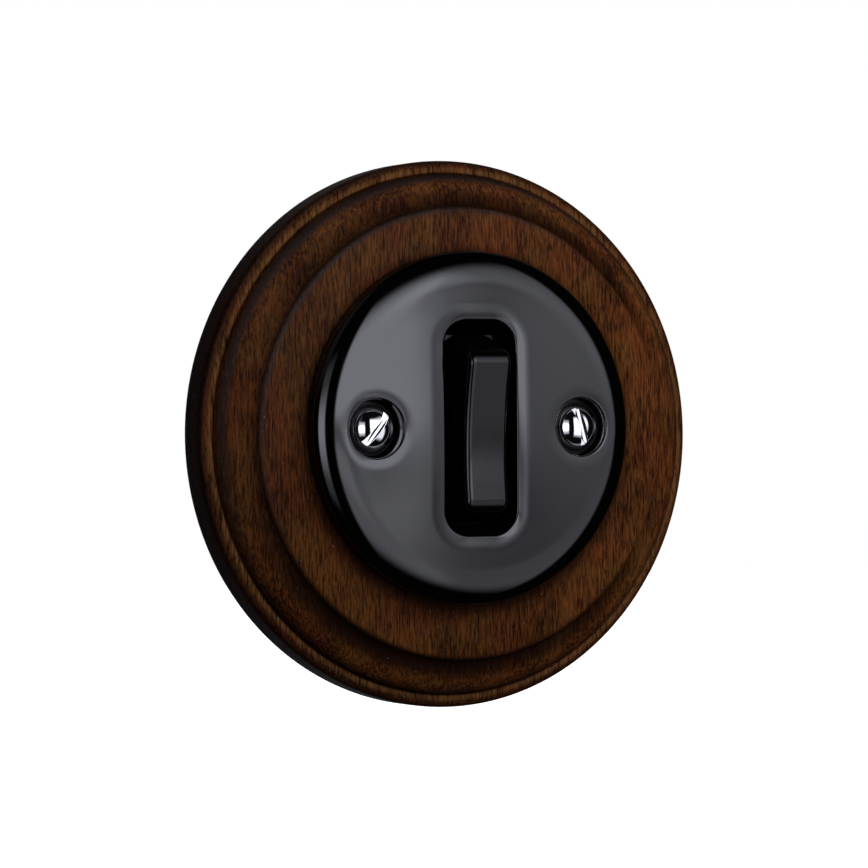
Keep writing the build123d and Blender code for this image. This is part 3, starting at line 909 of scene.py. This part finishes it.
@dataclass
class PorcelainCover:
    """Glazed cover, whose domed face rolls over at the rim, the slot and the wells; sizes in millimetres."""

    book: FinishBook
    radius: float = 32.0
    face: float = 19.85
    ceiling: float = 15.2
    foot: float = 13.5
    dome_radius: float = 400.0
    dome_fade: Span = (22.0, 30.0)
    dome_steps: int = 400
    edge_width: float = 8.3
    edge_depth: float = 2.8
    edge_steps: int = 600
    handle_runs: tuple[float, ...] = (0.0, 0.44, 0.46, 0.84, 1.0, 1.0)
    handle_drops: tuple[float, ...] = (0.0, 0.0, 0.0, 0.17, 0.87, 1.0)
    slot_half: Span = (5.6, 17.7)
    slot_corner: float = 3.0
    slot_lip: GlazeLip = GlazeLip(width=4.9, tail=0.5, corner=1.8, slope=2.0)
    slot_steps: int = 260
    screw_offset: float = 20.8
    well_radius: float = 4.1
    well_lip: GlazeLip = GlazeLip(width=3.6, tail=0.2, corner=1.3, slope=1.7)
    well_spokes: int = 72
    well_floor: float = 17.3
    boss_radius: float = 4.2
    boss_bottom: float = 11.2
    hole_radius: float = 2.0
    spigot_radius: float = 25.7
    spigot_wall: float = 3.0
    spigot_bottom: float = 11.5
    rings: int = 26
    spokes: int = 256
    ring_crowding: float = 1.1
    filler_step: float = 1.1
    clear: float = 0.1
    slope_step: float = 0.002
    weld: float = 1e-6

    def rim_drop(self, distance: np.ndarray) -> np.ndarray:
        """Drop of the outer edge at a distance from it: a curve of six handles, level first, upright last.

        Args:
            distance: Distances from the rim.

        Returns:
            The drop at each distance.
        """
        share = np.linspace(0.0, 1.0, self.edge_steps)[:, None]
        last = len(self.handle_runs) - 1
        order = np.arange(last + 1)
        ways = np.array([math.comb(last, k) for k in order])
        weights = ways * share**order * (1.0 - share) ** (last - order)
        run = weights @ np.array(self.handle_runs)
        fall = weights @ np.array(self.handle_drops)
        return np.interp(distance, self.edge_width * (1.0 - run[::-1]), self.edge_depth * fall[::-1])

    def from_slot(self, x: np.ndarray, z: np.ndarray) -> np.ndarray:
        """Distance from the slot's rounded outline, negative inside it.

        Args:
            x: Places across.
            z: Places upright.

        Returns:
            The distance at each place.
        """
        across = np.abs(x) - self.slot_half[0] + self.slot_corner
        upright = np.abs(z) - self.slot_half[1] + self.slot_corner
        inside = np.minimum(np.maximum(across, upright), 0.0)
        return np.hypot(np.maximum(across, 0.0), np.maximum(upright, 0.0)) + inside - self.slot_corner

    def from_wells(self, x: np.ndarray, z: np.ndarray) -> np.ndarray:
        """Distance from the wall of the nearer screw well, negative inside it."""
        return np.hypot(np.abs(x) - self.screw_offset, z) - self.well_radius

    def dome_drop(self, radius: np.ndarray) -> np.ndarray:
        """Drop of the gently domed face: the slope grows with the radius and fades out towards the rim.

        Args:
            radius: Distances from the axis.

        Returns:
            The drop at each distance.
        """
        reach = np.linspace(0.0, self.radius, self.dome_steps)
        inner, outer = self.dome_fade
        share = np.clip((reach - inner) / (outer - inner), 0.0, 1.0)
        slope = reach / self.dome_radius * (1.0 - share * share * (3.0 - 2.0 * share))
        return np.interp(radius, reach, np.cumsum(slope) * (reach[1] - reach[0]))

    def drop(self, x: np.ndarray, z: np.ndarray) -> np.ndarray:
        """Fall of the face below its middle: dome, rim, slot lip and well lips added up.

        Args:
            x: Places across.
            z: Places upright.

        Returns:
            The fall at each place.
        """
        radius = np.hypot(x, z)
        outer = self.dome_drop(radius) + self.rim_drop(self.radius - radius)
        return outer + self.slot_lip.drop(self.from_slot(x, z)) + self.well_lip.drop(self.from_wells(x, z))

    def slot_path(self) -> tuple[np.ndarray, np.ndarray, np.ndarray]:
        """Path round the slot: corner centres and headings, both straight-line functions of the way along.

        Returns:
            Centre X, centre Z and heading at each step.
        """
        wide = self.slot_half[0] - self.slot_corner
        tall = self.slot_half[1] - self.slot_corner
        bend = (self.slot_corner + self.slot_lip.width / 2) * math.pi / 2
        way = np.cumsum([0.0, 2 * tall, bend, 2 * wide, bend, 2 * tall, bend, 2 * wide, bend])
        step = np.linspace(0.0, way[-1], self.slot_steps, endpoint=False)
        centre_x = np.interp(step, way, [wide, wide, wide, -wide, -wide, -wide, -wide, wide, wide])
        centre_z = np.interp(step, way, [-tall, tall, tall, tall, tall, -tall, -tall, -tall, -tall])
        heading = np.interp(step, way, np.radians([0, 0, 90, 90, 180, 180, 270, 270, 360]))
        return centre_x, centre_z, heading

    def plan_rings(self) -> list[np.ndarray]:
        """Rings of plan points about the rim, the slot and the two wells, closer together near each wall.

        Returns:
            For each of the four walls, an array of rings of (x, z), the wall itself first.
        """
        share = (np.arange(self.rings + 1) / self.rings)[:, None] ** self.ring_crowding
        centre_x, centre_z, heading = self.slot_path()
        reach = self.slot_corner + share * self.slot_lip.width
        slot = np.stack([centre_x + reach * np.cos(heading), centre_z + reach * np.sin(heading)], axis=-1)
        turn = np.linspace(0.0, FULL_TURN, self.well_spokes, endpoint=False)
        reach = self.well_radius + share * self.well_lip.width
        well = np.stack([reach * np.cos(turn), reach * np.sin(turn)], axis=-1)
        aside = np.array([self.screw_offset, 0.0])
        turn = np.linspace(0.0, FULL_TURN, self.spokes, endpoint=False)
        reach = self.radius - share * self.edge_width
        rim = np.stack([reach * np.cos(turn), reach * np.sin(turn)], axis=-1)
        return [rim, slot, well - aside, well + aside]

    def plan_points(self, rings: list[np.ndarray]) -> np.ndarray:
        """All plan points: the four walls first, then their rings and a lattice between, kept off the walls.

        Args:
            rings: Rings about the four walls.

        Returns:
            Points (x, z).
        """
        lattice = np.arange(-self.radius, self.radius, self.filler_step)
        grid = np.stack(np.meshgrid(lattice, lattice), axis=-1).reshape(-1, 2)
        x, z = grid.T
        open_face = np.hypot(x, z) < self.radius - self.edge_width - self.clear
        open_face &= self.from_slot(x, z) > self.slot_lip.width + self.clear
        open_face &= self.from_wells(x, z) > self.well_lip.width + self.clear
        inner = np.concatenate([ring[1:].reshape(-1, 2) for ring in rings] + [grid[open_face]])
        x, z = inner.T
        kept = (self.from_slot(x, z) > self.clear) & (self.from_wells(x, z) > self.clear)
        return np.concatenate([ring[0] for ring in rings] + [inner[kept]])

    def plan_triangles(self, points: np.ndarray, walls: list[np.ndarray]) -> np.ndarray:
        """Triangles over the plan, without those in the slot or in a well.

        Args:
            points: Plan points.
            walls: Numbers of the points round each wall.

        Returns:
            Corner numbers, one triangle in each row.
        """
        edges = np.concatenate([np.stack([wall, np.roll(wall, -1)], axis=1) for wall in walls])
        corners = [Vector(point) for point in points.tolist()]
        found = delaunay_2d_cdt(corners, edges.tolist(), [], 0, self.weld)
        triangles = np.array(found[2])
        x, z = points[triangles].mean(axis=1).T
        solid = (self.from_slot(x, z) > 0.0) & (self.from_wells(x, z) > 0.0)
        triangles = triangles[solid]
        first, second, third = points[triangles].transpose(1, 0, 2)
        area = np.cross(second - first, third - first)
        triangles[area < 0.0] = triangles[area < 0.0][:, ::-1]
        return triangles

    def plate(self) -> tuple[np.ndarray, np.ndarray, list[list[int]]]:
        """Face and flat back over the same plan, joined by a wall along each outline.

        Returns:
            The plan's points, the plate's points and the plate's faces.
        """
        rings = self.plan_rings()
        plan = self.plan_points(rings)
        starts = np.cumsum([0] + [len(ring[0]) for ring in rings])
        walls = [np.arange(start, end) for start, end in zip(starts, starts[1:])]
        front = self.plan_triangles(plan, walls)
        x, z = plan.T
        count = len(plan)
        top = np.stack([x, self.drop(x, z) - self.face, z], axis=1)
        back = np.stack([x, np.full(count, -self.ceiling), z], axis=1)
        faces = front.tolist() + (front[:, ::-1] + count).tolist()
        for wall in walls:
            ahead = np.roll(wall, -1)
            faces += np.stack([wall, ahead, ahead + count, wall + count], axis=1).tolist()
        return plan, np.concatenate([top, back]), faces

    def turnings(self) -> list[tuple[list[Span], float]]:
        """Outlines (radius, height) of the skirt with its spigot and of the two bosses behind the wells.

        Returns:
            Each outline, with how far its axis is to the right of the cover's.
        """
        hollow = self.spigot_radius - self.spigot_wall
        skirt = [
            (self.radius, self.ceiling),
            (self.radius, self.foot),
            (self.spigot_radius, self.foot),
            (self.spigot_radius, self.spigot_bottom),
            (hollow, self.spigot_bottom),
            (hollow, self.ceiling),
        ]
        boss = [
            (self.hole_radius, self.well_floor),
            (self.boss_radius, self.well_floor),
            (self.boss_radius, self.boss_bottom),
            (self.hole_radius, self.boss_bottom),
        ]
        return [(skirt, 0.0), (boss, -self.screw_offset), (boss, self.screw_offset)]

    def spun(self, outline: list[Span], aside: float) -> tuple[np.ndarray, np.ndarray]:
        """Closed ring: an outline of (radius, height) turned about a line beside the cover's axis.

        Args:
            outline: Corners of the closed outline.
            aside: How far the line is to the right of the axis.

        Returns:
            The ring's points and faces.
        """
        radius, height = np.array(outline).T[:, :, None]
        turn = np.linspace(0.0, FULL_TURN, self.spokes, endpoint=False)
        x = aside + radius * np.cos(turn)
        points = np.stack([x, np.broadcast_to(-height, x.shape), radius * np.sin(turn)], axis=-1)
        return points.reshape(-1, 3), MeshShop.grid_faces(len(outline), self.spokes)

    def face_normals(self, x: np.ndarray, z: np.ndarray) -> np.ndarray:
        """Directions square to the glaze: the fall's slopes along x and z, and one unit towards the room.

        Args:
            x: Places across.
            z: Places upright.

        Returns:
            One direction of unit length for each place.
        """
        step = self.slope_step
        across = (self.drop(x + step, z) - self.drop(x - step, z)) / (2 * step)
        upright = (self.drop(x, z + step) - self.drop(x, z - step)) / (2 * step)
        normals = np.stack([across, -np.ones_like(across), upright], axis=1)
        return normals / np.linalg.norm(normals, axis=1, keepdims=True)

    def make(self) -> bpy.types.Object:
        """Join the plate, the skirt and the bosses, and shade the face by the formula's own normals.

        Returns:
            The cover, dressed and riding on the base.
        """
        plan, points, faces = self.plate()
        for outline, aside in self.turnings():
            ring_points, ring_faces = self.spun(outline, aside)
            faces += (ring_faces + len(points)).tolist()
            points = np.concatenate([points, ring_points])
        piece = MeshShop.build("glazed_cover", points, faces)
        MeshShop.face_outwards(piece)
        normals = np.zeros_like(points)
        normals[: len(plan)] = self.face_normals(*plan.T)
        piece.data.normals_split_custom_set_from_vertices(normals.tolist())
        self.book.dress(piece, Slot.GLAZE)
        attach(piece, Body.BASE.value)
        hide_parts("porcelain_cover")
        return piece


@dataclass
class CarriedNodes:
    """Nodes whose solids already have the right shape and only need a finish."""

    book: FinishBook
    nodes: dict[str, bpy.types.Object]

    def dress(self, slot: Slot, *names: str) -> None:
        """Dress several nodes with one finish.

        Args:
            slot: Slot of the finish.
            names: Names of the nodes.
        """
        for name in names:
            self.book.dress(self.nodes[name], slot)
            LOG.info("dressed %s in %s", name, slot.value)


@dataclass(frozen=True)
class SoftWindow:
    """Bright part of the studio, from left to right and from low to high, in degrees off the face's axis.

    Each fade says over how many degrees that side fades, and the lean is how far the window rises for each
    degree to the left of its right side.
    """

    turn: Span
    rise: Span
    brightness: float
    turn_fade: Span
    rise_fade: Span
    lean: float = 0.0

    def glow(self, sheet: NodeSheet, turn: Socket, rise: Socket) -> Socket:
        """Brightness of the window in each direction.

        Args:
            sheet: The world's sheet.
            turn: Degrees to the right of straight ahead.
            rise: Degrees above the level.

        Returns:
            The brightness socket.
        """
        left, right = self.turn
        low, high = self.rise
        sink = sheet.math("MULTIPLY", sheet.math("SUBTRACT", turn, right), self.lean)
        rise = sheet.math("ADD", rise, sink)
        from_left = sheet.band(turn, left, left + self.turn_fade[0])
        from_right = sheet.band(turn, right - self.turn_fade[1], right, 1.0, 0.0)
        from_low = sheet.band(rise, low, low + self.rise_fade[0])
        from_high = sheet.band(rise, high - self.rise_fade[1], high, self.brightness, 0.0)
        across = sheet.math("MULTIPLY", from_left, from_right)
        return sheet.math("MULTIPLY", across, sheet.math("MULTIPLY", from_low, from_high))


@dataclass(frozen=True)
class SoftShade:
    """Dim oval in the studio's light; middle and half widths in degrees, and the share of light it takes."""

    turn: float
    rise: float
    width: float
    height: float
    depth: float

    def left_over(self, sheet: NodeSheet, turn: Socket, rise: Socket) -> Socket:
        """Share of light that the shade leaves in each direction.

        Args:
            sheet: The world's sheet.
            turn: Degrees to the right of straight ahead.
            rise: Degrees above the level.

        Returns:
            The share's socket.
        """
        across = sheet.math("DIVIDE", sheet.math("SUBTRACT", turn, self.turn), self.width)
        upright = sheet.math("DIVIDE", sheet.math("SUBTRACT", rise, self.rise), self.height)
        return sheet.band(sheet.length(across, 0.0, upright), 0.0, 1.0, 1.0 - self.depth, 1.0)


class Shade(Enum):
    """Dim ovals of the studio."""

    BELOW = SoftShade(turn=30.0, rise=-5.5, width=8.0, height=4.5, depth=0.38)
    ABOVE = SoftShade(turn=28.0, rise=8.0, width=6.0, height=2.5, depth=0.3)


class Glow(Enum):
    """Soft windows of the studio."""

    BROAD = SoftWindow((-16.0, 61.0), (-50.0, 49.0), 0.95, (7.0, 9.0), (22.0, 20.0))
    UPPER = SoftWindow((-16.0, 61.0), (-3.0, 44.0), 0.28, (7.0, 20.0), (5.0, 30.0))
    UPPER_RIGHT = SoftWindow((28.0, 61.0), (0.0, 40.0), 0.4, (9.0, 14.0), (9.0, 26.0))
    KEY = SoftWindow((-16.0, 25.2), (-3.6, 42.0), 1.3, (7.0, 2.5), (4.5, 27.0), lean=0.1)
    KEY_SIDE = SoftWindow((-16.0, 30.5), (-3.6, 42.0), 1.25, (7.0, 7.0), (4.5, 27.0), lean=0.1)
    KEY_CORNER = SoftWindow((18.0, 28.5), (-10.0, 0.0), 0.7, (6.0, 6.0), (6.0, 3.0))
    UPPER_TOP = SoftWindow((10.0, 40.0), (9.0, 40.0), 0.5, (10.0, 14.0), (5.0, 26.0))
    KEY_LOW = SoftWindow((-16.0, 16.0), (-16.0, 0.0), 0.6, (7.0, 8.0), (9.0, 4.5))
    LOWER_LEFT = SoftWindow((-16.0, 27.0), (-44.0, -1.0), 0.64, (7.0, 6.0), (24.0, 4.0))
    LEFT = SoftWindow((-64.0, -35.0), (-24.0, 20.0), 2.9, (6.0, 6.0), (22.0, 19.0))
    LEFT_TALL = SoftWindow((-64.0, -35.0), (-36.0, 34.0), 0.6, (6.0, 6.0), (14.0, 14.0))
    HIGH_LEFT = SoftWindow((-135.0, -50.0), (15.0, 80.0), 0.1, (20.0, 20.0), (15.0, 15.0))
    BACK_RIGHT = SoftWindow((110.0, 181.0), (-65.0, 75.0), 0.95, (30.0, 1.0), (25.0, 25.0))
    BACK_LEFT = SoftWindow((-181.0, -125.0), (-65.0, 75.0), 0.32, (1.0, 30.0), (25.0, 25.0))


@dataclass
class Studio:
    """White surroundings, soft windows of light and the camera; sizes in millimetres, turns in degrees."""

    camera_azimuth: float = 27.3
    camera_roll: float = -0.6
    camera_distance: float = 700.0
    lens: float = 157.28
    sensor: float = 36.0
    nearest: float = 10.0
    slide_right: float = 0.357
    slide_up: float = -1.05
    dark: float = 0.003
    lamp: float = 2.2
    lamp_cosines: Span = (0.966, 0.99)
    light_tint: Colour = (0.95, 0.965, 1.07, 1.0)
    floor_drop: float = 200.0
    floor_half: float = 4000.0
    floor_colour: Colour = (0.9, 0.9, 0.9, 1.0)
    floor_roughness: float = 0.9

    def add_camera(self) -> None:
        """Stand the camera left of the switch's axis, rolled a little, and make it the scene's camera."""
        turn = math.radians(self.camera_azimuth)
        roll = math.radians(self.camera_roll)
        up = Vector((0.0, 0.0, 1.0))
        ahead = Vector((math.sin(turn), math.cos(turn), 0.0))
        right = Vector((math.cos(turn), -math.sin(turn), 0.0))
        side = right * math.cos(roll) + up * math.sin(roll)
        top = up * math.cos(roll) - right * math.sin(roll)
        data = bpy.data.cameras.new("camera")
        data.lens = self.lens
        data.sensor_width = self.sensor
        data.clip_start = self.nearest * MM
        camera = bpy.data.objects.new("camera", data)
        place = right * self.slide_right - ahead * self.camera_distance + up * self.slide_up
        camera.location = place * MM
        camera.rotation_euler = Matrix((side, top, -ahead)).transposed().to_euler()
        bpy.context.scene.collection.objects.link(camera)
        bpy.context.scene.camera = camera

    def add_sky(self) -> None:
        """White for the camera; for all other rays, soft windows on a dark ground and a lamp behind."""
        world = bpy.data.worlds.new("studio")
        world.use_nodes = True
        sheet = NodeSheet(world.node_tree)
        way = sheet.axes(sheet.add("TexCoord").outputs["Generated"])
        front = sheet.math("MULTIPLY", way["Y"], -1.0)
        turn = sheet.math("DEGREES", sheet.math("ARCTAN2", way["X"], front))
        rise = sheet.math("DEGREES", sheet.math("ARCSINE", way["Z"]))
        light = sheet.band(way["Y"], *self.lamp_cosines, self.dark, self.lamp)
        for glow in Glow:
            light = sheet.math("ADD", light, glow.value.glow(sheet, turn, rise))
        for shade in Shade:
            light = sheet.math("MULTIPLY", light, shade.value.left_over(sheet, turn, rise))
        tinted = sheet.mix(1.0, self.light_tint, light, "MULTIPLY")
        seen = sheet.add("LightPath").outputs["Is Camera Ray"]
        colour = sheet.mix(seen, tinted, WHITE)
        sheet.put(world.node_tree.nodes["Background"].inputs["Color"], colour)
        bpy.context.scene.world = world
        bpy.context.scene.view_settings.view_transform = "Standard"

    def add_floor(self) -> None:
        """Pale floor below the switch."""
        corners = np.array([[-1.0, -1.0], [1.0, -1.0], [1.0, 1.0], [-1.0, 1.0]]) * self.floor_half
        points = np.column_stack([corners, np.full(len(corners), -self.floor_drop)])
        floor = MeshShop.build("floor", points, [[0, 1, 2, 3]])
        material = bpy.data.materials.new("pale_floor")
        material.use_nodes = True
        shader = material.node_tree.nodes["Principled BSDF"]
        shader.inputs["Base Color"].default_value = self.floor_colour
        shader.inputs["Roughness"].default_value = self.floor_roughness
        shader.inputs["Emission Color"].default_value = WHITE
        shader.inputs["Emission Strength"].default_value = 1.0
        floor.data.materials.append(material)
        floor.visible_diffuse = False
        floor.visible_glossy = False

    def set_up(self) -> None:
        """Build the whole studio."""
        self.add_camera()
        self.add_sky()
        self.add_floor()


def main() -> None:
    """Build the pieces in order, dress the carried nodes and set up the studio."""
    logging.basicConfig(level=logging.INFO, format="%(name)s: %(message)s")
    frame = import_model()
    book = FinishBook(EffectGroups())
    for maker in (WallFrame(book), PorcelainCover(book)):
        LOG.info("made %s", maker.make().name)
    carried = CarriedNodes(book, frame["nodes"])
    carried.dress(Slot.WOOD, "wood_frame")
    carried.dress(Slot.GLAZE, "porcelain_cover")
    carried.dress(Slot.PLASTIC, "rocker")
    carried.dress(Slot.CHROME, "cover_screws")
    carried.dress(Slot.STEEL, "cover_posts", "support_plate", "rocker_axle")
    carried.dress(Slot.STEEL, "terminal_clamps", "terminal_screws")
    carried.dress(Slot.SPRING, "plunger_spring")
    carried.dress(Slot.BRASS, "common_terminal", "upper_terminal", "lower_terminal")
    carried.dress(Slot.BRASS, "base_rivets", "plunger", "moving_contact")
    carried.dress(Slot.SILVER, "fixed_contact_tips", "moving_contact_tips")
    carried.dress(Slot.STEATITE, "switch_base")
    carried.dress(Slot.FIBRE, "insulating_sheet")
    Studio().set_up()


if __name__ == "__main__":
    main()
